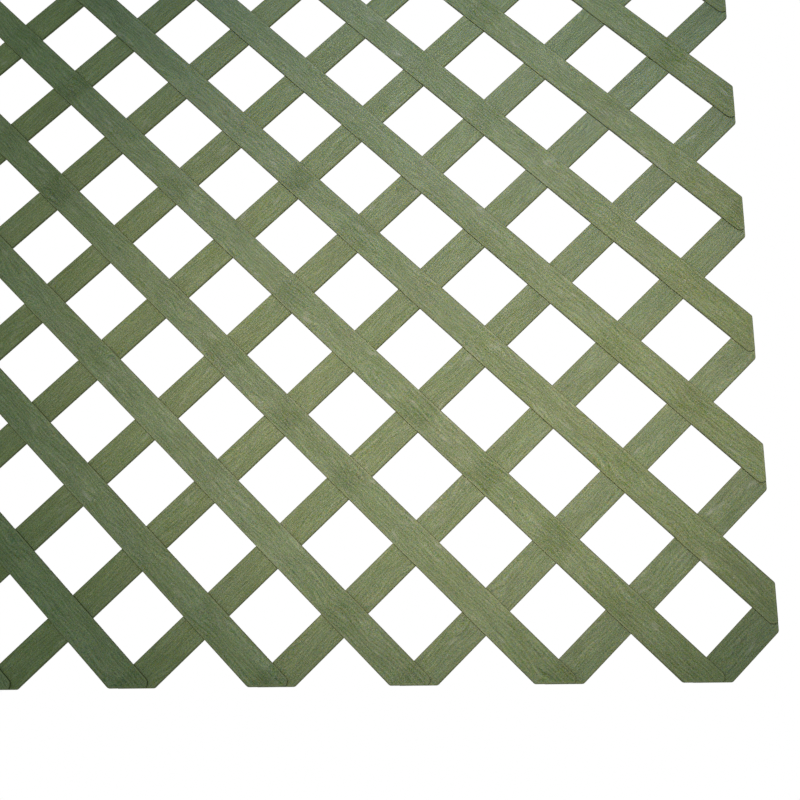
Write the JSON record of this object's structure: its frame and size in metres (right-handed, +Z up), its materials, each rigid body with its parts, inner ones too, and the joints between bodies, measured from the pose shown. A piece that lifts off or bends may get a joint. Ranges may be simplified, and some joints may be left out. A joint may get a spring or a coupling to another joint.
{
  "type": "plastic lattice panel",
  "caption": "Flat diamond lattice of crossed wood-grain plastic slats with flat-cut zigzag edges, for fencing, skirting and climbing plants.",
  "frame": {"origin": "middle of the panel's bottom edge, halfway through its thickness", "axes": "+X along the long edge, to the right seen from the front; -Y out of the front face, on whose layer the slats run down to the right; +Z up"},
  "size_m": [2.4384, 0.0048, 1.2192],
  "materials": {
    "front_slat_plastic": "olive-green polyethylene, satin, with a fine embossed wood grain along each slat",
    "back_slat_plastic": "olive-green polyethylene, satin, with a fine embossed wood grain along each slat"
  },
  "bodies": {
    "root": {"front_slat_01": "front_slat_plastic", "front_slat_02": "front_slat_plastic", "front_slat_03": "front_slat_plastic", "front_slat_04": "front_slat_plastic", "front_slat_05": "front_slat_plastic", "front_slat_06": "front_slat_plastic", "front_slat_07": "front_slat_plastic", "front_slat_08": "front_slat_plastic", "front_slat_09": "front_slat_plastic", "front_slat_10": "front_slat_plastic", "front_slat_11": "front_slat_plastic", "front_slat_12": "front_slat_plastic", "front_slat_13": "front_slat_plastic", "front_slat_14": "front_slat_plastic", "front_slat_15": "front_slat_plastic", "front_slat_16": "front_slat_plastic", "front_slat_17": "front_slat_plastic", "front_slat_18": "front_slat_plastic", "front_slat_19": "front_slat_plastic", "front_slat_20": "front_slat_plastic", "front_slat_21": "front_slat_plastic", "front_slat_22": "front_slat_plastic", "front_slat_23": "front_slat_plastic", "front_slat_24": "front_slat_plastic", "back_slat_01": "back_slat_plastic", "back_slat_02": "back_slat_plastic", "back_slat_03": "back_slat_plastic", "back_slat_04": "back_slat_plastic", "back_slat_05": "back_slat_plastic", "back_slat_06": "back_slat_plastic", "back_slat_07": "back_slat_plastic", "back_slat_08": "back_slat_plastic", "back_slat_09": "back_slat_plastic", "back_slat_10": "back_slat_plastic", "back_slat_11": "back_slat_plastic", "back_slat_12": "back_slat_plastic", "back_slat_13": "back_slat_plastic", "back_slat_14": "back_slat_plastic", "back_slat_15": "back_slat_plastic", "back_slat_16": "back_slat_plastic", "back_slat_17": "back_slat_plastic", "back_slat_18": "back_slat_plastic", "back_slat_19": "back_slat_plastic", "back_slat_20": "back_slat_plastic", "back_slat_21": "back_slat_plastic", "back_slat_22": "back_slat_plastic", "back_slat_23": "back_slat_plastic", "back_slat_24": "back_slat_plastic"}
  },
  "joints": []
}
